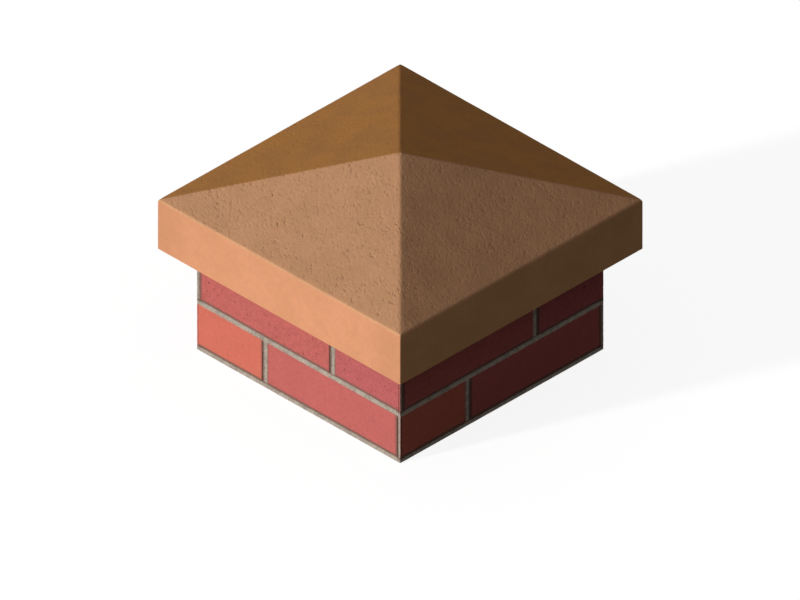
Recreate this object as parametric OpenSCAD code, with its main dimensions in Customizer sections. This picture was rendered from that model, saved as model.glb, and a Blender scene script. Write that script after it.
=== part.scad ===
// Pyramid cap of cast stone, bedded on the head of a fence pier one and a half bricks square.
// Millimetres, +Z up, origin at the centre of the underside of the pier head.
// The front of the pier faces -Y and its right-hand side faces +X.

/* [Bricks] */
// Length of a brick, from its header face at the corner to its cross joint
brick_l = 218.5; // [205:0.5:245]
// Width of a brick, which is what its header face shows
brick_w = 107.5; // [90:0.5:130]
// Height of a brick
brick_h = 55; // [40:0.5:80]
// Length of the frog at the brick's upper face
frog_l = 150; // [100:1:160]
// Width of the frog at the brick's upper face
frog_w = 60; // [40:1:70]
// Depth of the frog
frog_depth = 10; // [5:0.5:15]
// How far each wall of the frog leans in from its rim to its floor
frog_lean = 4; // [0:0.5:8]

/* [Mortar joints] */
// Thickness of the upright joints between the bricks of one course
cross_joint = 9; // [6:0.5:12]
// Thickness of the bed between the two courses
bed_joint_h = 10; // [5:0.5:12]
// Thickness of the bed under the lower course
base_joint_h = 6.5; // [5:0.5:12]
// How far the joints are raked back from the brick faces
joint_recess = 3; // [0.5:0.5:4]
// Width of the mortar pointing at the corner of each long brick face
pointing_w = 4.5; // [4:0.5:10]
// Depth of the rebate that the corner pointing fills
pointing_depth = 2.5; // [1.5:0.5:5]
// How far the corner pointing lies below the brick faces
pointing_recess = 0.5; // [0.25:0.25:1]

/* [Bedding of the cap] */
// Thickness of the mortar under the damp-proof course
lower_bed_h = 6.5; // [4:0.5:10]
// Thickness of the damp-proof course
dpc_t = 1.5; // [1:0.5:3]
// Thickness of the mortar between the damp-proof course and the cap
upper_bed_h = 7; // [4:0.5:10]

/* [Cap] */
// How far the cap reaches past the pier on each side
cap_overhang = 32.5; // [25:0.5:60]
// Height of the cap's upright edge
cap_edge_h = 69; // [40:1:120]
// Rise of the four slopes, from the edge to the point
cap_rise = 67; // [30:1:140]
// Radius of the rounding between the upright edge and a slope
eave_r = 3; // [1:0.5:8]
// Radius of the rounding at the cap's upright corners
corner_r = 1.5; // [0.5:0.5:6]

/* [Drip groove] */
// Distance from the cap's edge to the groove
drip_inset = 9; // [6:0.5:12]
// Width of the groove
drip_w = 10; // [6:0.5:10]
// Depth of the groove
drip_depth = 6; // [4:0.5:10]

/* [Fixing] */
// Diameter of the steel dowel between the core and the cap
dowel_d = 12; // [8:1:16]
// Length of the dowel that stands in the core
dowel_in_core = 60; // [40:1:60]
// Length of the dowel that stands in the cap
dowel_in_cap = 60; // [40:1:65]
// Bevel at both ends of the dowel
dowel_bevel = 1; // [0.5:0.5:2]
// Diameter of the grouted socket in the cap
cap_socket_d = 22; // [20:1:30]
// Grout above the end of the dowel
grout_over_dowel = 6; // [2:1:10]
// Clearance around the dowel in the damp-proof course
dpc_clearance = 0.5; // [0.25:0.25:1]

/* [Socket for the pier's own bar] */
// Diameter of the socket that opens at the underside
bar_socket_d = 20; // [16:1:26]
// Wall and closed end of the sleeve that forms the socket
sleeve_t = 2.5; // [1.5:0.5:4]
// Concrete between the end of the sleeve and the end of the dowel
core_web = 14; // [10:0.5:25]

/* [Hidden] */
$fn = 64;
// Steps in the arc of a rounded edge
arc_steps = 8;
// Overrun of a cut past the face that it opens
cut = 1;

pier_w = brick_l + cross_joint + brick_w;
pier_half = pier_w / 2;
core_w = pier_w - 2 * brick_w;
bed_half = pier_half - joint_recess;

lower_z = base_joint_h;
bed_z = lower_z + brick_h;
upper_z = bed_z + bed_joint_h;
lower_bed_z = upper_z + brick_h;
dpc_z = lower_bed_z + lower_bed_h;
upper_bed_z = dpc_z + dpc_t;
cap_z = upper_bed_z + upper_bed_h;

cap_half = pier_half + cap_overhang;
slope_angle = atan(cap_rise / cap_half);
dowel_z = lower_bed_z - dowel_in_core;
dowel_top_z = cap_z + dowel_in_cap;
bar_socket_depth = dowel_z - core_web - sleeve_t;

// Quarter turns that carry the front brick to each side of the pier
FRONT = 0;
RIGHT = 1;
BACK = 2;
LEFT = 3;

BRICK_RED = [0.72, 0.36, 0.33];
MORTAR_GREY = [0.70, 0.69, 0.62];
CAP_BUFF = [0.86, 0.60, 0.43];
CONCRETE_GREY = [0.62, 0.61, 0.58];
STEEL_GREY = [0.75, 0.76, 0.78];
SHEET_BLACK = [0.12, 0.12, 0.13];
SLEEVE_GREY = [0.35, 0.37, 0.38];

// ---- Helpers ----

// Points of an arc about centre c, from angle a to angle b
function arc(c, r, a, b) =
    [for (i = [0:arc_steps]) let (t = a + (b - a) * i / arc_steps) c + r * [cos(t), sin(t)]];

// Mirror image of a list of points in the line x = 0, in the order that keeps the outline going round
function mirrored(points) = [for (i = [len(points) - 1:-1:0]) [-points[i][0], points[i][1]]];

// The solid whose outline is the given profile when it is seen along X and also when it is seen along Y
module two_way(profile, half) {
    intersection() {
        rotate([90, 0, 0])
            linear_extrude(height = 2 * half, center = true) polygon(profile);
        rotate([90, 0, 90])
            linear_extrude(height = 2 * half, center = true) polygon(profile);
    }
}

module square_slab(half, z, h) {
    translate([-half, -half, z]) cube([2 * half, 2 * half, h]);
}

// Repeats its children on all four sides of the pier
module four_sides() {
    for (side = [FRONT:LEFT]) rotate([0, 0, 90 * side]) children();
}

// The lower course runs one way round the pier and the upper course the other way
module lower_course(side = FRONT) {
    translate([0, 0, lower_z]) rotate([0, 0, 90 * side]) children();
}

module upper_course(side = FRONT) {
    translate([0, 0, upper_z]) rotate([0, 0, 90 * side]) mirror([1, 0, 0]) children();
}

// ---- Bricks, drawn as the front one, on z = 0, with the corner at the right ----

// Tapered recess below the upper face of the front brick
module frog() {
    floor_l = frog_l - 2 * frog_lean;
    floor_w = frog_w - 2 * frog_lean;
    translate([pier_half - brick_l / 2, -pier_half + brick_w / 2, brick_h - frog_depth])
        intersection() {
            rotate([90, 0, 0])
                linear_extrude(height = frog_w, center = true)
                    polygon([
                        [-floor_l / 2, 0], [floor_l / 2, 0], [frog_l / 2, frog_depth], [-frog_l / 2, frog_depth]
                    ]);
            rotate([90, 0, 90])
                linear_extrude(height = frog_l, center = true)
                    polygon([
                        [-floor_w / 2, 0], [floor_w / 2, 0], [frog_w / 2, frog_depth], [-frog_w / 2, frog_depth]
                    ]);
        }
}

module brick() {
    color(BRICK_RED)
        difference() {
            translate([pier_half - brick_l, -pier_half, 0]) cube([brick_l, brick_w, brick_h]);
            frog();
            translate([pier_half - pointing_w, -pier_half - cut, -cut])
                cube([pointing_w + cut, pointing_depth + cut, brick_h + 2 * cut]);
        }
}

// ---- Mortar ----

// Upright joint between the front brick and the brick to its left
module cross_joint_mortar() {
    color(MORTAR_GREY)
        translate([pier_half - brick_l - cross_joint, -bed_half, 0])
            cube([cross_joint, brick_w - joint_recess, brick_h]);
}

// Upright strip that makes good the corner of the front brick's long face
module corner_pointing() {
    color(MORTAR_GREY)
        translate([pier_half - pointing_w, pointing_recess - pier_half, 0])
            cube([pointing_w - pointing_recess, pointing_depth - pointing_recess, brick_h]);
}

// Bed that goes round the core
module mortar_ring(z, h) {
    difference() {
        square_slab(bed_half, z, h);
        square_slab(core_w / 2, z - cut, h + 2 * cut);
    }
}

module base_joint() {
    color(MORTAR_GREY) mortar_ring(0, base_joint_h);
}

// The bed between the courses fills the frogs of the lower bricks
module bed_joint() {
    color(MORTAR_GREY)
        union() {
            mortar_ring(bed_z, bed_joint_h);
            for (side = [FRONT:LEFT]) lower_course(side) frog();
        }
}

// The bed under the damp-proof course fills the frogs of the upper bricks
module cap_bed_lower() {
    color(MORTAR_GREY)
        difference() {
            union() {
                square_slab(bed_half, lower_bed_z, lower_bed_h);
                for (side = [FRONT:LEFT]) upper_course(side) frog();
            }
            dowel_hole(dowel_d);
        }
}

module cap_bed_upper() {
    color(MORTAR_GREY)
        difference() {
            square_slab(bed_half, upper_bed_z, upper_bed_h);
            dowel_hole(dowel_d);
        }
}

module damp_proof_course() {
    color(SHEET_BLACK)
        difference() {
            square_slab(pier_half, dpc_z, dpc_t);
            dowel_hole(dowel_d + 2 * dpc_clearance);
        }
}

// ---- Fixing ----

// Round hole of diameter d over the whole length of the dowel
module dowel_hole(d) {
    translate([0, 0, dowel_z]) cylinder(d = d, h = dowel_top_z - dowel_z);
}

module fixing_dowel() {
    color(STEEL_GREY)
        rotate_extrude()
            polygon([
                [0, dowel_z],
                [dowel_d / 2 - dowel_bevel, dowel_z],
                [dowel_d / 2, dowel_z + dowel_bevel],
                [dowel_d / 2, dowel_top_z - dowel_bevel],
                [dowel_d / 2 - dowel_bevel, dowel_top_z],
                [0, dowel_top_z]
            ]);
}

module dowel_grout() {
    color(CONCRETE_GREY)
        difference() {
            translate([0, 0, cap_z]) cylinder(d = cap_socket_d, h = dowel_in_cap + grout_over_dowel);
            dowel_hole(dowel_d);
        }
}

// ---- Core ----

module core_concrete() {
    color(CONCRETE_GREY)
        difference() {
            square_slab(core_w / 2, 0, lower_bed_z);
            dowel_hole(dowel_d);
            translate([0, 0, -cut])
                cylinder(d = bar_socket_d + 2 * sleeve_t, h = bar_socket_depth + sleeve_t + cut);
        }
}

// Sleeve cast into the core, open at the underside, for the bar that comes up through the pier
module socket_sleeve() {
    color(SLEEVE_GREY)
        difference() {
            cylinder(d = bar_socket_d + 2 * sleeve_t, h = bar_socket_depth + sleeve_t);
            translate([0, 0, -cut]) cylinder(d = bar_socket_d, h = bar_socket_depth + cut);
        }
}

// ---- Cap ----

// Right-hand half of the cap's outline: upright edge, rounded eave and slope up to the point
function cap_outline() =
    let (tangent = eave_r / tan((90 + slope_angle) / 2), eave = [cap_half - eave_r, cap_edge_h - tangent])
    concat([[cap_half, 0]], arc(eave, eave_r, 0, 90 - slope_angle));

module cap_body() {
    outline = concat(cap_outline(), [[0, cap_edge_h + cap_rise]], mirrored(cap_outline()));
    corner = cap_half - corner_r;
    intersection() {
        two_way(outline, cap_half);
        linear_extrude(height = cap_edge_h + cap_rise)
            polygon([for (side = [FRONT:LEFT]) each arc(
                corner * [cos(90 * side) - sin(90 * side), sin(90 * side) + cos(90 * side)],
                corner_r, 90 * side, 90 * side + 90
            )]);
    }
}

// Groove round the underside that makes rainwater drip clear of the pier
module drip_groove() {
    outer = cap_half - drip_inset;
    inner = outer - drip_w;
    translate([0, 0, -cut])
        linear_extrude(height = drip_depth + cut)
            difference() {
                square(2 * outer, center = true);
                square(2 * inner, center = true);
            }
}

module cap_stone() {
    color(CAP_BUFF)
        translate([0, 0, cap_z])
            difference() {
                cap_body();
                drip_groove();
                translate([0, 0, -cut])
                    cylinder(d = cap_socket_d, h = dowel_in_cap + grout_over_dowel + cut);
            }
}

// ---- Nodes ----

cap_stone();
dowel_grout();
fixing_dowel();
cap_bed_upper();
damp_proof_course();
cap_bed_lower();
upper_course(FRONT) brick();  // upper_brick_front
upper_course(RIGHT) brick();  // upper_brick_right
upper_course(BACK) brick();  // upper_brick_back
upper_course(LEFT) brick();  // upper_brick_left
four_sides() upper_course() cross_joint_mortar();  // upper_cross_joints
four_sides() upper_course() corner_pointing();  // upper_corner_pointing
bed_joint();
lower_course(FRONT) brick();  // lower_brick_front
lower_course(RIGHT) brick();  // lower_brick_right
lower_course(BACK) brick();  // lower_brick_back
lower_course(LEFT) brick();  // lower_brick_left
four_sides() lower_course() cross_joint_mortar();  // lower_cross_joints
four_sides() lower_course() corner_pointing();  // lower_corner_pointing
base_joint();
core_concrete();
socket_sleeve();
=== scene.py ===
import math

import bmesh
import bpy
from mathutils import Matrix, Vector, noise


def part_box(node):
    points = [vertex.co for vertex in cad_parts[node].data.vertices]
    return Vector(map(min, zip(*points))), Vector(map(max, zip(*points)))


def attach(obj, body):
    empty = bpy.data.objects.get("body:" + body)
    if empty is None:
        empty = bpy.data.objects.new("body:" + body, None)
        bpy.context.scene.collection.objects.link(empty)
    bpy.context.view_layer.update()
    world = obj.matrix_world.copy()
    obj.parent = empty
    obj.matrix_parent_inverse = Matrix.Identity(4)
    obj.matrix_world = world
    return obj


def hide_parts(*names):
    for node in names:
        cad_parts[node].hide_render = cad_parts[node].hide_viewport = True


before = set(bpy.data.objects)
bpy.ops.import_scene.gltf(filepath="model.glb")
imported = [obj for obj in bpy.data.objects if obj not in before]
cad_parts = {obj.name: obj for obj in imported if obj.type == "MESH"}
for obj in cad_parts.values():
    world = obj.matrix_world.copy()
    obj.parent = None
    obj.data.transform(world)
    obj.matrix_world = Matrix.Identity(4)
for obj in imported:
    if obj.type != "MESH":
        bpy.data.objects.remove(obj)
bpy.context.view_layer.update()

MM = 0.001
X, Y, Z = 0, 1, 2

# ---- Sizes, in metres ----

CAP_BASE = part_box("cap_stone")[0].z
CAP_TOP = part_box("cap_stone")[1].z
CAP_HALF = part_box("cap_stone")[1].x
CAP_EDGE_H = 69 * MM
CAP_RISE = CAP_TOP - CAP_BASE - CAP_EDGE_H
SLOPE = math.atan2(CAP_RISE, CAP_HALF)
EAVE_R = 3.6 * MM
# The slopes end and the rounding of the eave begins this far out
EAVE_FROM = CAP_HALF - EAVE_R + EAVE_R * math.sin(SLOPE)
HIP_WIDTH = 1.3 * MM
POINT_WIDTH = 2 * MM
CORNER_R = 1.1 * MM
FOOT_R = 0.4 * MM

DRIP_OUTER = CAP_HALF - 9 * MM
DRIP_INNER = DRIP_OUTER - 10 * MM
DRIP_DEPTH = 6 * MM

GROUT_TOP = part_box("dowel_grout")[1].z
GROUT_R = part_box("dowel_grout")[1].x

PIER_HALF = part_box("damp_proof_course")[1].x
JOINT_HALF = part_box("bed_joint")[1].x
# A cross joint lies between these two distances from the middle of a side
JOINT_FROM = min(abs(corner.x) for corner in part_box("lower_brick_front"))
JOINT_TO = min(abs(corner.x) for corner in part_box("lower_brick_right"))

ARRIS = 0.6 * MM
BRICK_CELL = 1.5 * MM
MORTAR_CELL = 0.9 * MM
# How far the mortar lies behind the brick faces: at the foot of a bed, at its top as a share of its
# height, in the two kinds of upright joint, and at a corner, which counts from CORNER_TAPER away
FLUSH = -0.05 * MM
STRUCK = 0.27
CROSS_STRUCK = 0.7 * MM
POINTING_STRUCK = 1.3 * MM
AT_CORNER = 0.15 * MM
CORNER_TAPER = 7 * MM
# Width of the line of pointing up a corner
POINTING_W = 4.5 * MM
# The outer arris of a lower brick rises as a lip, which begins LIP_RISE below the brick's top
LIP = 2.8 * MM
LIP_RISE = 7 * MM
LOWER_BRICK_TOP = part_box("lower_brick_front")[1].z
# Points this close to a plane lie in it
NEAR = 0.05 * MM
# Points of a brick this close to the side of the pier belong to its face
SKIN = 3 * MM
# Width of the ring of small faces inside the outline of a bed
RING = 8 * MM
# Faces that meet at a smaller angle are shaded as one
SMOOTH_BELOW = math.radians(40)

VIEW_AZIMUTH = math.radians(45)
VIEW_ELEVATION = math.radians(34.2)
VIEW_DISTANCE = 3
VIEW_WIDTH = 0.932
VIEW_CENTRE = Vector((-0.0002, -0.0002, 0.069))

KEY_FROM = Vector((-0.343, -0.923, 0.176))
ROOM_GLOW = 0.077
FLOOR_GLOW = 0.884
FLOOR_HALF = 4
FLOOR_LEVEL = -0.2 * MM
# Colour of the painted shade under the bricks and beside the joints, put where shadow falls
PAINTED_SHADE_COLOUR = (0.19, 0.112, 0.086, 1)


# ---- Materials ----

class Value:
    """Something a finish works out over the surface. Sums on it add the Math nodes."""

    def __init__(self, finish, socket):
        self.finish = finish
        self.socket = socket

    def _sum(self, operation, first, second):
        return self.finish.add("Math", {"operation": operation}, {0: first, 1: second})

    def __add__(self, other):
        return self._sum("ADD", self, other)

    def __sub__(self, other):
        return self._sum("SUBTRACT", self, other)

    def __rsub__(self, other):
        return self._sum("SUBTRACT", other, self)

    def __mul__(self, other):
        return self._sum("MULTIPLY", self, other)

    def __truediv__(self, other):
        return self._sum("DIVIDE", self, other)

    def __abs__(self):
        return self.finish.add("Math", {"operation": "ABSOLUTE"}, {0: self})

    __radd__ = __add__
    __rmul__ = __mul__


class Finish:
    """A material of the object: Object coordinates go in, colour, roughness and relief come out."""

    def __init__(self, name, metallic=0.0):
        self.material = bpy.data.materials.new(name)
        self.material.use_nodes = True
        self.nodes = self.material.node_tree.nodes
        self.links = self.material.node_tree.links
        self.shader = self.nodes["Principled BSDF"]
        self.shader.inputs["Metallic"].default_value = metallic
        if not metallic:
            self.shader.inputs["Specular IOR Level"].default_value = 0.04
        self.place = self.add("TexCoord", out="Object")

    def add(self, kind, settings=None, sockets=None, out=0):
        """Adds one node: its settings first, then the values or links of its sockets."""
        node = self.nodes.new("ShaderNode" + kind)
        for name, value in (settings or {}).items():
            setattr(node, name, value)
        for name, value in (sockets or {}).items():
            self.feed(node.inputs[name], value)
        return Value(self, node.outputs[out])

    def feed(self, socket, value):
        if isinstance(value, Value):
            self.links.new(value.socket, socket)
        else:
            socket.default_value = value

    def axis(self, vector, index):
        return self.add("SeparateXYZ", None, {0: vector}, out=index)

    def noise(self, size, detail=2.0, rough=0.5, place=None):
        """Even noise from 0 to 1 whose lumps are about the given size across."""
        sockets = {"Scale": 1 / size, "Detail": detail, "Roughness": rough}
        return self.add("TexNoise", None, {"Vector": place or self.place, **sockets})

    def rise(self, value, low, high):
        """0 below low, 1 above high and smooth between. With low above high it falls instead."""
        return self.add("MapRange", {"interpolation_type": "SMOOTHSTEP"}, {0: value, 1: low, 2: high})

    def blend(self, first, second, share):
        """One colour turning into another."""
        return self.add("Mix", {"data_type": "RGBA"}, {0: share, 6: first, 7: second}, out=2)

    def shade(self, colour, value):
        """A colour made lighter or darker by a value near 1."""
        return self.add("VectorMath", {"operation": "SCALE"}, {0: colour, "Scale": value})

    def with_painted_shade(self, colour):
        """A colour darkened by the painted shade that lies in the joints and along the brick edges
        beside them.
        """
        return self.blend(colour, PAINTED_SHADE_COLOUR, self.add("Attribute", {"attribute_name": "painted_shade"}, out=2))

    def warped(self, size, reach, place=None):
        """Coordinates pushed about, so that what reads them is less regular."""
        place = place or self.place
        colours = self.add("TexNoise", None, {"Vector": place, "Scale": 1 / size, "Detail": 2.0}, out=1)
        centred = self.add("VectorMath", {"operation": "SUBTRACT"}, {0: colours, 1: (0.5, 0.5, 0.5)})
        push = self.add("VectorMath", {"operation": "SCALE"}, {0: centred, "Scale": 2 * reach})
        return self.add("VectorMath", {"operation": "ADD"}, {0: place, 1: push})

    def pits(self, spacing, width, share, place):
        """1 at the bottom of scattered pits and 0 around them. share is how many cells have one."""
        sockets = {"Vector": place, "Scale": 1 / spacing}
        distance = self.add("TexVoronoi", None, sockets)
        chance = self.axis(self.add("TexVoronoi", None, sockets, out=1), X)
        hollow = self.rise(distance, width / spacing, 0.3 * width / spacing)
        return hollow * self.rise(chance, 1 - share, 1.02 - share)

    def finish(self, colour, roughness, relief):
        """Feeds the shader. relief is the height of the surface in metres."""
        self.feed(self.shader.inputs["Base Color"], colour)
        self.feed(self.shader.inputs["Roughness"], roughness)
        bump = self.add("Bump", None, {"Strength": 1.0, "Distance": 1.0, "Height": relief})
        self.feed(self.shader.inputs["Normal"], bump)
        return self.material


def cast_stone():
    """Pitted by the weather on the front and right slopes, smoother on the others and on the edge."""
    f = Finish("cast_stone")
    x, y, z = (f.axis(f.place, i) for i in (X, Y, Z))
    slopes = f.rise(z, CAP_BASE + CAP_EDGE_H - 2.2 * MM, CAP_BASE + CAP_EDGE_H - 1.2 * MM)
    weathered = slopes * f.rise(x - y, -1.5 * MM, 1.5 * MM)

    blotches = f.noise(38 * MM, 3.0)
    mottle = f.noise(10 * MM, 4.0, 0.6)
    grain = f.noise(1.5 * MM, 2.0)
    # The right and back sides lie in shade: their fascia is painted lighter and yellower and their
    # slopes a little darker, as painted light and shade
    shaded_side_paint = f.rise(x + y, -1.5 * MM, 1.5 * MM)
    uneven = f.rise(blotches, 0.33, 0.67)
    edge_colour = f.blend((0.788, 0.354, 0.187, 1), (0.742, 0.337, 0.173, 1), uneven)
    painted_shaded_edge_colour = f.blend((0.862, 0.450, 0.203, 1), (0.784, 0.412, 0.180, 1), uneven)
    edge_colour = f.blend(edge_colour, painted_shaded_edge_colour, shaded_side_paint)
    back_colour = f.blend((0.69, 0.308, 0.091, 1), (0.63, 0.282, 0.096, 1), uneven)
    front_colour = f.blend((0.800, 0.413, 0.219, 1), (0.742, 0.384, 0.200, 1), uneven)
    colour = f.blend(edge_colour, back_colour, slopes)
    colour = f.blend(colour, front_colour, weathered)

    drawn_out = {"Vector": f.place, "Rotation": (0, 0, math.radians(45)), "Scale": (1, 1.6, 1)}
    washed = f.add("Mapping", {"vector_type": "TEXTURE"}, drawn_out)
    bent = f.warped(3 * MM, 2.7 * MM, washed)
    crust = f.noise(3.6 * MM, 1.5, 0.5, washed)
    patches = f.rise(f.noise(26 * MM, 2.0), 0.38, 0.62)
    dents = f.pits(7.8 * MM, 2.7 * MM, 0.55, bent) * (patches * 0.5 + 0.5)
    specks = f.pits(4.8 * MM, 1.8 * MM, 0.5, bent)
    creases = f.rise(abs(f.noise(6 * MM, 1.5, 0.5, bent) - 0.5), 0.08, 0.01)
    creases = creases * f.rise(f.noise(5.5 * MM, 2.0), 0.5, 0.6) * patches
    wear = (crust - 0.5) * 0.42 * MM - dents * 0.36 * MM - specks * 0.18 * MM - creases * 0.32 * MM
    relief = (mottle - 0.5) * 0.25 * MM + wear
    strength = weathered * (0.44 - shaded_side_paint * 0.34) + 0.17 * (1.0 + slopes * 1.4)
    relief = relief * strength + (grain - 0.5) * 0.05 * MM
    # Painted shade in the dents, creases and specks, and painted light on the high crust, on the front
    # and right slopes
    relief_shading = weathered * (dents * 0.11 + creases * 0.07 + specks * 0.05 - (crust - 0.5) * 0.14)
    corners = f.rise(abs(x) + abs(y), 2 * CAP_HALF - 75 * MM, 2 * CAP_HALF) * (1.0 - slopes - shaded_side_paint)
    tone = 1.0 + (mottle - 0.5) * 0.15 + (grain - 0.5) * 0.22 - relief_shading - corners * 0.09
    # The slopes of the shaded sides are painted 4% darker, as painted shade
    return f.finish(f.shade(colour, tone - slopes * shaded_side_paint * 0.04), 0.92, relief)


def fired_clay(name, colour, coarse):
    """Sanded brick. coarse is how rough this firing came out."""
    f = Finish(name)
    clouds = f.noise(30 * MM, 3.0, 0.6)
    grain = f.noise(1.5 * MM, 3.0)
    drag = f.noise(3.6 * MM, 3.0, 0.6, f.warped(4 * MM, 1.2 * MM))
    specks = f.rise(drag, 0.36, 0.27)
    tone = 1.0 + (clouds - 0.5) * 0.12
    tone = tone + ((grain - 0.5) * 0.26 + (drag - 0.5) * 0.26 - specks * 0.14) * coarse
    relief = ((drag - 0.5) * 0.19 * MM + (grain - 0.5) * 0.07 * MM - specks * 0.16 * MM) * coarse
    return f.finish(f.with_painted_shade(f.shade(colour, tone)), 0.88, relief)


def sandy(name, deep, light, sand=1.0):
    """Mortar, concrete and grout: sand grains in a cement paste, painted paler on the right and back
    sides, which lie in shade.
    """
    f = Finish(name)
    clouds = f.noise(14 * MM, 3.0)
    grains = f.noise(1.8 * MM, 3.0, 0.7)
    holes = f.pits(3.4 * MM, 1.5 * MM, 0.35, f.warped(2 * MM, 0.6 * MM))
    # The right and back sides lie in shade and the mortar is painted paler there, except on the
    # underside
    shaded_side_paint = f.rise(f.axis(f.place, X) + f.axis(f.place, Y), -1.5 * MM, 1.5 * MM)
    colour = f.blend(deep, light, f.rise(clouds * 0.4 + grains * 0.6, 0.3, 0.66))
    shaded_side_paint = shaded_side_paint * f.rise(f.axis(f.place, Z), 0.0, 0.5 * MM)
    tone = (1.0 + (grains - 0.5) * 0.24 - holes * 0.2) * (1.0 + shaded_side_paint * 0.55)
    relief = ((grains - 0.5) * 0.4 * MM - holes * 0.4 * MM) * sand
    return f.finish(f.with_painted_shade(f.shade(colour, tone)), 0.95, relief)


def drawn_steel():
    f = Finish("drawn_steel", metallic=1.0)
    along = f.add("Mapping", None, {"Vector": f.place, "Scale": (1, 1, 0.04)})
    lines = f.noise(0.6 * MM, 2.0, 0.5, along)
    tone = 0.94 + (lines - 0.5) * 0.2
    return f.finish(f.shade((0.60, 0.61, 0.62), tone), 0.30 + lines * 0.15, (lines - 0.5) * 0.02 * MM)


def plastic_sheet():
    """Damp-proof course: black sheet embossed with small diamonds."""
    f = Finish("plastic_sheet")
    x, y = (f.axis(f.place, i) for i in (X, Y))
    per_metre = 1200.0
    ridges = f.add("Math", {"operation": "SINE"}, {0: (x + y) * per_metre})
    ridges = ridges * f.add("Math", {"operation": "SINE"}, {0: (x - y) * per_metre})
    dust = f.rise(f.noise(12 * MM, 3.0), 0.45, 0.8)
    colour = f.blend((0.012, 0.012, 0.014, 1), (0.05, 0.048, 0.045, 1), dust)
    return f.finish(colour, 0.5 + dust * 0.3, ridges * 0.1 * MM)


def sleeve_plastic():
    f = Finish("sleeve_plastic")
    marks = f.noise(3 * MM, 3.0)
    rings = f.add("Math", {"operation": "SINE"}, {0: f.axis(f.place, Z) * 2500.0})
    colour = f.blend((0.055, 0.062, 0.066, 1), (0.085, 0.09, 0.092, 1), marks)
    return f.finish(colour, 0.45 + marks * 0.2, rings * 0.05 * MM)


# ---- Meshes ----

def as_piece(bm, name, materials, node):
    """Turns a mesh into a piece that stands for a CAD node."""
    mesh = bpy.data.meshes.new(name)
    bm.to_mesh(mesh)
    bm.free()
    for material in materials:
        mesh.materials.append(material)
    mesh.shade_smooth()
    mesh.set_sharp_from_angle(angle=SMOOTH_BELOW)
    piece = bpy.data.objects.new(name, mesh)
    bpy.context.scene.collection.objects.link(piece)
    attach(piece, "root")
    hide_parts(node)
    return piece


def merged_copy(node):
    """A copy of a CAD node with its triangles joined into whole flat faces."""
    bm = bmesh.new()
    bm.from_mesh(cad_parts[node].data)
    bmesh.ops.remove_doubles(bm, verts=bm.verts[:], dist=1e-6)
    bmesh.ops.dissolve_limit(bm, angle_limit=math.radians(1), verts=bm.verts[:], edges=bm.edges[:])
    return bm


def runs_along(edge, axis, least=0):
    """Whether an edge is about parallel to an axis and longer than least."""
    way = edge.verts[1].co - edge.verts[0].co
    return abs(way[axis]) > 0.98 * way.length and way.length > least


def cut_finely(bm, shown, cell):
    """Divides the faces that shown picks into a grid of small cells, one direction after another."""
    for axis in (X, Y, Z):
        edges = dict.fromkeys(edge for face in bm.faces if shown(face) for edge in face.edges)
        lengths = {}
        for edge in edges:
            if runs_along(edge, axis):
                lengths.setdefault(round(edge.calc_length(), 4), []).append(edge)
        for length, alike in lengths.items():
            cuts = round(length / cell) - 1
            if cuts > 0:
                bmesh.ops.subdivide_edges(bm, edges=alike, cuts=cuts, use_grid_fill=False)


def drop_rim(bm, rim, move):
    """Extrudes a rim of edges and moves the new one. Returns the new rim."""
    made = bmesh.ops.extrude_edge_only(bm, edges=rim)["geom"]
    verts = {vert for vert in made if isinstance(vert, bmesh.types.BMVert)}
    for vert in verts:
        vert.co = move(vert.co)
    edges = [edge for edge in made if isinstance(edge, bmesh.types.BMEdge)]
    return [edge for edge in edges if all(vert in verts for vert in edge.verts)]


def out_from_middle(point):
    """How far out a point lies, towards the side that it is nearest."""
    return max(abs(point.x), abs(point.y))


def fill_levels(bm, outline):
    """Closes a mesh whose level faces were taken away, with triangles that go round any holes.

    A level with a whole outline gets a ring of small faces inside it first.
    """
    rims = {}
    for edge in bm.edges:
        if edge.is_boundary:
            rims.setdefault(round(edge.verts[0].co.z, 4), []).append(edge)
    shrink = 1 - RING / outline
    for rim in rims.values():
        outer, holes = [], []
        for edge in rim:
            at_outline = all(out_from_middle(vert.co) > outline - NEAR for vert in edge.verts)
            (outer if at_outline else holes).append(edge)
        if sum(edge.calc_length() for edge in outer) > 8 * outline - MM:
            rim = holes + drop_rim(bm, outer, lambda p: Vector((p.x * shrink, p.y * shrink, p.z)))
        bmesh.ops.triangle_fill(bm, edges=rim, use_beauty=True)
    bmesh.ops.recalc_face_normals(bm, faces=bm.faces[:])


def lumps(point, size):
    """Smooth noise from about -1 to 1, in lumps about the given size across."""
    return noise.fractal(point / size, 1.0, 2.0, 2)


def on_pier_face(face):
    """Whether a face is upright, or nearly, and part of the outside of the pier."""
    middle = face.calc_center_median()
    outside = out_from_middle(middle) > JOINT_HALF - 4 * MM and face.normal.dot(middle) > 0
    return outside and abs(face.normal.z) < 0.3


def ease(share):
    """0 below 0, 1 above 1 and smooth between."""
    share = min(1, max(0, share))
    return share * share * (3 - 2 * share)


def store_painted_shade(bm, amount):
    """Stores how much painted shade each point gets, from 0 to 1."""
    layer = bm.verts.layers.float.new("painted_shade")
    for vert in bm.verts:
        vert[layer] = amount(vert.co)


def raised(z):
    """How much higher a point of a lower brick's face lies on account of the lip."""
    return LIP * ease((z - LOWER_BRICK_TOP + LIP_RISE) / LIP_RISE)


def is_bed(node):
    """Whether a node of mortar is a whole bed rather than upright joints."""
    return "joints" not in node and "pointing" not in node


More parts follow.
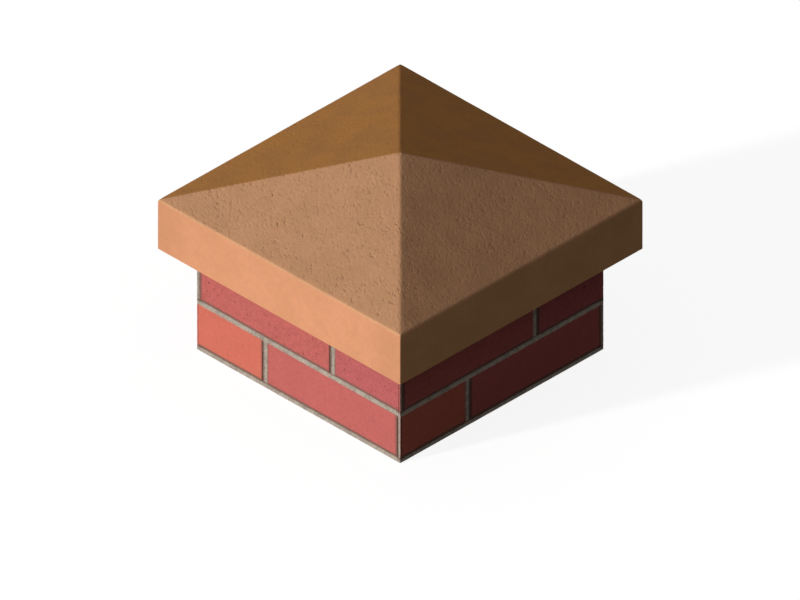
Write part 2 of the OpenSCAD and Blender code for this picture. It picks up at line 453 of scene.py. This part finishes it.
def painted_shade_in_mortar(node, foot, high):
    """Returns the function for how much painted shade a point of the mortar gets: most under and beside
    the bricks, where their shadow falls.
    """

    def in_bed(p):
        from_top = (high.z - p.z) / (high.z - foot)
        return 0.95 - 0.95 * ease((from_top - 0.17) / 0.34)

    def in_pointing(p):
        return 0.2 + 0.5 * ease((high.x - min(abs(p.x), abs(p.y)) - 1.6 * MM) / (2.2 * MM))

    def in_cross_joint(p):
        across = min(abs(p.x), abs(p.y))
        along = p.x if abs(p.y) > abs(p.x) else -p.y
        from_start = across - JOINT_FROM if along > 0 else JOINT_TO - across
        from_end = JOINT_TO - JOINT_FROM - from_start
        at_start = 0.92 - 0.87 * ease((from_start - 1.5 * MM) / (2.6 * MM))
        return max(at_start, 0.6 - 0.55 * ease((from_end - 0.6 * MM) / (2 * MM)))

    if is_bed(node):
        return in_bed
    return in_pointing if "pointing" in node else in_cross_joint


def mortar(node, material, end_clay):
    """Mortar struck with a trowel: flush at the foot of a bed, pressed in under the bricks above.

    The line of pointing up a corner shows mortar on the long face and is wiped to clay on the end.
    """
    bm = merged_copy(node)
    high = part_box(node)[1]
    foot = min(vert.co.z for vert in bm.verts if out_from_middle(vert.co) > high.x - NEAR)
    height = high.z - foot
    deepest = POINTING_STRUCK if "pointing" in node else CROSS_STRUCK
    if is_bed(node):
        deepest = STRUCK * height
    level = [face for face in bm.faces if abs(face.normal.z) > 0.99]
    bmesh.ops.delete(bm, geom=level, context="FACES")
    cut_finely(bm, on_pier_face, MORTAR_CELL)
    fill_levels(bm, high.x)
    # Painted shade in the mortar: strongest under the bricks above and beside the cross joints and the
    # pointing
    store_painted_shade(bm, painted_shade_in_mortar(node, foot, high))

    def struck(start, side):
        """How far behind the brick faces a point of the mortar ends up."""
        depth = deepest * ease((high.z - start.z) / (4 * MM))
        if is_bed(node):
            depth = FLUSH + (deepest - FLUSH) * (start.z - foot) / height
        inset = ease((high.x - abs(start[1 - side])) / CORNER_TAPER)
        rough = 0.5 * MM * lumps(start, 2.6 * MM) * ease(start.z / MM)
        rough += 0.12 * MM * lumps(start, 20 * MM)
        depth = AT_CORNER + (depth - AT_CORNER) * inset + rough * (0.25 + 0.75 * inset)
        return min(max(depth, -0.1 * MM), deepest + 0.3 * MM)

    for vert in bm.verts:
        start = vert.co.copy()
        sides = [side for side in (X, Y) if abs(start[side]) > high.x - NEAR]
        for side in sides:
            vert.co[side] = math.copysign(PIER_HALF - struck(start, side), start[side])
        if sides and node == "bed_joint":
            vert.co.z += LIP * (1 - (start.z - foot) / height)
        elif sides and node.startswith("lower"):
            vert.co.z += raised(start.z)
        # The foot of a bed laps unevenly over the bricks below, if there are any
        if sides and is_bed(node) and MM < start.z < foot + NEAR:
            vert.co.z -= max(0, 1.3 * MM * lumps(start, 3.2 * MM))
    # The two courses run round the pier in opposite ways
    turned = 1 if node.startswith("upper") else -1
    for face in bm.faces:
        middle = face.calc_center_median()
        faces_end = (abs(face.normal.x) > abs(face.normal.y)) == (middle.x * middle.y * turned > 0)
        face.material_index = 1 if "pointing" in node and faces_end else 0
    return as_piece(bm, node + "_mortar", [material, end_clay], node)


# ---- The pieces ----

def brick(node, long_face, end_face):
    """A brick with worn arrises, whose two kinds of face fired differently."""
    low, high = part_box(node)
    along = X if high.x - low.x > high.y - low.y else Y
    across = 1 - along
    bm = merged_copy(node)
    inside = 12 * MM

    def in_frog(edge):
        points = [vert.co for vert in edge.verts]
        return all(low[i] + inside < p[i] < high[i] - inside for p in points for i in (X, Y))

    outer = [e for e in bm.edges if e.is_convex and e.calc_face_angle() > 1 and not in_frog(e)]
    bmesh.ops.bevel(
        bm, geom=outer, offset=ARRIS, segments=3, profile=0.5, affect="EDGES", material=-1
    )
    cut_finely(bm, on_pier_face, BRICK_CELL)

    # Where the cross joints beside it begin, along x and along y, and how much painted shade its edges
    # there get
    joint_side = [low[i] if abs(low[i]) < PIER_HALF - 9 * MM else high[i] for i in (X, Y)]
    most = [0.6 if joint_side[X] == high.x else 0.4, 0.8 if joint_side[Y] == low.y else 0.1]

    # Painted shade along the brick's foot and beside the cross joints and the corner pointing
    def painted_shade(p):
        at_foot = 0.94 - 0.94 * ease((p.z - low.z - 1.2 * MM) / (2.3 * MM))
        from_joint = [abs(p[i] - joint_side[i]) for i in (X, Y)]
        beside = max(most[i] - most[i] * ease((from_joint[i] - 0.8 * MM) / (2 * MM)) for i in (X, Y))
        if abs(p[across]) < PIER_HALF - SKIN:
            return max(at_foot, beside)
        from_pointing = PIER_HALF - POINTING_W - abs(p[along])
        return max(at_foot, beside, 0.85 - 0.85 * ease((from_pointing - 1.7 * MM) / (3.2 * MM)))

    store_painted_shade(bm, painted_shade)
    for vert in bm.verts:
        for side in (X, Y):
            if abs(vert.co[side]) > PIER_HALF - SKIN:
                wave = 0.2 * MM * lumps(vert.co, 42 * MM) + 0.08 * MM * lumps(vert.co, 5 * MM)
                vert.co[side] += math.copysign(wave - 0.2 * MM, vert.co[side])
        if node.startswith("lower") and out_from_middle(vert.co) > PIER_HALF - SKIN:
            vert.co.z += raised(vert.co.z)
    for face in bm.faces:
        face.material_index = 1 if abs(face.normal[along]) > 0.7 else 0
    return as_piece(bm, node + "_clay", [long_face, end_face], node)


def cap_height(x, y):
    """Height of the cap's top at a place in plan, with its hips and its point softened."""
    a, b = math.hypot(x, POINT_WIDTH), math.hypot(y, POINT_WIDTH)
    reach = min(CAP_HALF, (a + b + math.hypot(a - b, HIP_WIDTH)) / 2)
    drop = EAVE_R / math.tan((math.pi / 2 + SLOPE) / 2)
    centre_x, centre_z = CAP_HALF - EAVE_R, CAP_EDGE_H - drop
    if reach > EAVE_FROM:
        return CAP_BASE + centre_z + math.sqrt(max(0, EAVE_R**2 - (reach - centre_x)**2))
    return CAP_BASE + CAP_EDGE_H + CAP_RISE * (1 - reach / CAP_HALF)


def cap(material):
    """A grid shaped to the slopes and the eave, with the edge and the underside hung from its rim."""
    cells = 240
    arc = 6
    bm = bmesh.new()
    bmesh.ops.create_grid(bm, x_segments=cells, y_segments=cells, size=1)

    def line(share):
        """Where a grid line lies: evenly spaced, then closer together round the eave."""
        step = round((share + 1) / 2 * cells)
        steps_in = min(step, cells - step)
        if steps_in >= arc:
            return EAVE_FROM * (2 * (step - arc) / (cells - 2 * arc) - 1)
        turn = SLOPE + (math.pi / 2 - SLOPE) * (1 - steps_in / arc)
        reach = CAP_HALF - EAVE_R + EAVE_R * math.sin(turn)
        return -reach if step < cells / 2 else reach

    for vert in bm.verts:
        x, y = line(vert.co.x), line(vert.co.y)
        vert.co = Vector((x, y, cap_height(x, y)))

    rim = [edge for edge in bm.edges if edge.is_boundary]
    rim = drop_rim(bm, rim, lambda p: Vector((p.x, p.y, CAP_BASE + FOOT_R)))
    sides = [edge for edge in bm.edges if runs_along(edge, Z, 20 * MM)]
    bmesh.ops.subdivide_edges(bm, edges=sides, cuts=30)

    def to_reach(reach, z):
        """Moves a point to a level, and in plan towards the middle or away from it."""
        return lambda p: Vector((p.x * reach / out_from_middle(p), p.y * reach / out_from_middle(p), z))

    for degrees in (45, 90):
        angle = math.radians(degrees)
        reach = CAP_HALF - FOOT_R + FOOT_R * math.cos(angle)
        rim = drop_rim(bm, rim, to_reach(reach, CAP_BASE + FOOT_R - FOOT_R * math.sin(angle)))
    drip = [(DRIP_OUTER, 0), (DRIP_OUTER, DRIP_DEPTH), (DRIP_INNER, DRIP_DEPTH), (DRIP_INNER, 0)]
    for reach, z in drip + [(PIER_HALF, 0)]:
        rim = drop_rim(bm, rim, to_reach(reach, CAP_BASE + z))

    at_base = Matrix.Translation((0, 0, CAP_BASE))
    socket = bmesh.ops.create_circle(bm, segments=64, radius=GROUT_R, matrix=at_base)
    mouth = list(dict.fromkeys(edge for vert in socket["verts"] for edge in vert.link_edges))
    bmesh.ops.triangle_fill(bm, edges=rim + mouth, use_beauty=True)
    crown = drop_rim(bm, mouth, lambda p: Vector((p.x, p.y, GROUT_TOP)))
    bmesh.ops.contextual_create(bm, geom=crown)
    bmesh.ops.recalc_face_normals(bm, faces=bm.faces[:])

    for vert in bm.verts:
        round_corner(vert)
        roughen_cap(vert)
    return as_piece(bm, "cap_casting", [material], "cap_stone")


def round_corner(vert):
    """Rounds the cap's upright corners."""
    inner = CAP_HALF - CORNER_R
    over = Vector((max(0, abs(vert.co.x) - inner), max(0, abs(vert.co.y) - inner)))
    if over.x > 0 and over.y > 0:
        over *= max(over.x, over.y) / over.length
        vert.co.x = math.copysign(inner + over.x, vert.co.x)
        vert.co.y = math.copysign(inner + over.y, vert.co.y)


def roughen_cap(vert):
    """Slight hollows in the slopes, and an edge that is not quite straight."""
    point = vert.co.copy()
    if point.z > CAP_BASE + CAP_EDGE_H - 1 * MM:
        vert.co.z -= 0.35 * MM * (1 + lumps(point, 45 * MM)) / 2
    elif point.z > CAP_BASE + FOOT_R:
        side = X if abs(point.x) > abs(point.y) else Y
        vert.co[side] -= math.copysign(0.2 * MM * (1 + lumps(point, 30 * MM)) / 2, point[side])


# ---- Setting ----

def sees_white(tree):
    """1 for what the eye, a gloss or clear glass sees, and 0 for what lights the object."""
    path = tree.nodes.new("ShaderNodeLightPath")
    total = None
    for ray in ("Is Camera Ray", "Is Glossy Ray", "Is Transmission Ray"):
        if total is None:
            total = path.outputs[ray]
            continue
        add = tree.nodes.new("ShaderNodeMath")
        add.operation = "MAXIMUM"
        tree.links.new(total, add.inputs[0])
        tree.links.new(path.outputs[ray], add.inputs[1])
        total = add.outputs[0]
    return total


def floor():
    bm = bmesh.new()
    bmesh.ops.create_grid(bm, x_segments=1, y_segments=1, size=FLOOR_HALF)
    mesh = bpy.data.meshes.new("floor")
    bm.to_mesh(mesh)
    bm.free()
    mesh.transform(Matrix.Translation((0, 0, FLOOR_LEVEL)))
    ground = bpy.data.objects.new("floor", mesh)
    bpy.context.scene.collection.objects.link(ground)
    material = bpy.data.materials.new("floor")
    material.use_nodes = True
    tree = material.node_tree
    dull = tree.nodes["Principled BSDF"]
    dull.inputs["Base Color"].default_value = (0.16, 0.16, 0.16, 1)
    dull.inputs["Roughness"].default_value = 1.0
    dull.inputs["Specular IOR Level"].default_value = 0.0
    pale = tree.nodes.new("ShaderNodeBsdfDiffuse")
    pale.inputs["Color"].default_value = (0.35, 0.35, 0.35, 1)
    glow = tree.nodes.new("ShaderNodeEmission")
    glow.inputs["Strength"].default_value = FLOOR_GLOW
    both = tree.nodes.new("ShaderNodeAddShader")
    tree.links.new(pale.outputs[0], both.inputs[0])
    tree.links.new(glow.outputs[0], both.inputs[1])
    mix = tree.nodes.new("ShaderNodeMixShader")
    tree.links.new(sees_white(tree), mix.inputs[0])
    tree.links.new(dull.outputs[0], mix.inputs[1])
    tree.links.new(both.outputs[0], mix.inputs[2])
    tree.links.new(mix.outputs[0], tree.nodes["Material Output"].inputs["Surface"])
    mesh.materials.append(material)


def surroundings():
    world = bpy.data.worlds.new("surroundings")
    bpy.context.scene.world = world
    world.use_nodes = True
    tree = world.node_tree
    dim = tree.nodes["Background"]
    dim.inputs["Strength"].default_value = ROOM_GLOW
    dim.inputs["Color"].default_value = (1, 1, 1, 1)
    white = tree.nodes.new("ShaderNodeBackground")
    white.inputs["Strength"].default_value = 1.0
    white.inputs["Color"].default_value = (1, 1, 1, 1)
    mix = tree.nodes.new("ShaderNodeMixShader")
    tree.links.new(sees_white(tree), mix.inputs[0])
    tree.links.new(dim.outputs[0], mix.inputs[1])
    tree.links.new(white.outputs[0], mix.inputs[2])
    tree.links.new(mix.outputs[0], tree.nodes["World Output"].inputs["Surface"])


def sun(name, towards, strength, spread):
    """A lamp far away, seen in the direction towards, that fills an angle of spread degrees."""
    data = bpy.data.lights.new(name, "SUN")
    data.energy = strength
    data.angle = math.radians(spread)
    lamp = bpy.data.objects.new(name, data)
    lamp.rotation_euler = towards.to_track_quat("Z", "Y").to_euler()
    bpy.context.scene.collection.objects.link(lamp)


def camera():
    data = bpy.data.cameras.new("camera")
    data.type = "ORTHO"
    data.ortho_scale = VIEW_WIDTH
    towards = Vector((
        math.sin(VIEW_AZIMUTH) * math.cos(VIEW_ELEVATION),
        -math.cos(VIEW_AZIMUTH) * math.cos(VIEW_ELEVATION),
        math.sin(VIEW_ELEVATION),
    ))
    eye = bpy.data.objects.new("camera", data)
    eye.location = VIEW_CENTRE + VIEW_DISTANCE * towards
    eye.rotation_euler = towards.to_track_quat("Z", "Y").to_euler()
    bpy.context.scene.collection.objects.link(eye)
    bpy.context.scene.camera = eye
    bpy.context.scene.view_settings.view_transform = "Standard"


camera()
surroundings()
floor()
sun("key", KEY_FROM, strength=3.1, spread=4)
sun("sky", Vector((0, 0, 1)), strength=0.26, spread=90)

joint_mortar = sandy("joint_mortar", (0.29, 0.246, 0.199, 1), (0.56, 0.473, 0.386, 1))
core = sandy("core_concrete", (0.24, 0.235, 0.22, 1), (0.38, 0.37, 0.345, 1), 1.6)
grout = sandy("dowel_grout", (0.18, 0.18, 0.175, 1), (0.27, 0.27, 0.26, 1), 0.5)

cap(cast_stone())
courses = {
    "lower": (fired_clay("rose_clay", (0.582, 0.147, 0.130), 1.0),
              fired_clay("amber_clay", (0.685, 0.177, 0.122), 0.8)),
    "upper": (fired_clay("plum_clay", (0.563, 0.144, 0.125), 2.0),
              fired_clay("plum_header_clay", (0.531, 0.133, 0.129), 2.0)),
}
for course, (long_face, end_face) in courses.items():
    for side in ("front", "right", "back", "left"):
        brick(f"{course}_brick_{side}", long_face, end_face)
for node in (
    "cap_bed_upper", "cap_bed_lower", "upper_cross_joints", "upper_corner_pointing",
    "bed_joint", "lower_cross_joints", "lower_corner_pointing", "base_joint",
):
    mortar(node, joint_mortar, courses["upper" if node.startswith("upper") else "lower"][1])

for node, material in (
    ("fixing_dowel", drawn_steel()), ("dowel_grout", grout), ("damp_proof_course", plastic_sheet()),
    ("core_concrete", core), ("socket_sleeve", sleeve_plastic()),
):
    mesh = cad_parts[node].data
    mesh.materials.clear()
    mesh.materials.append(material)
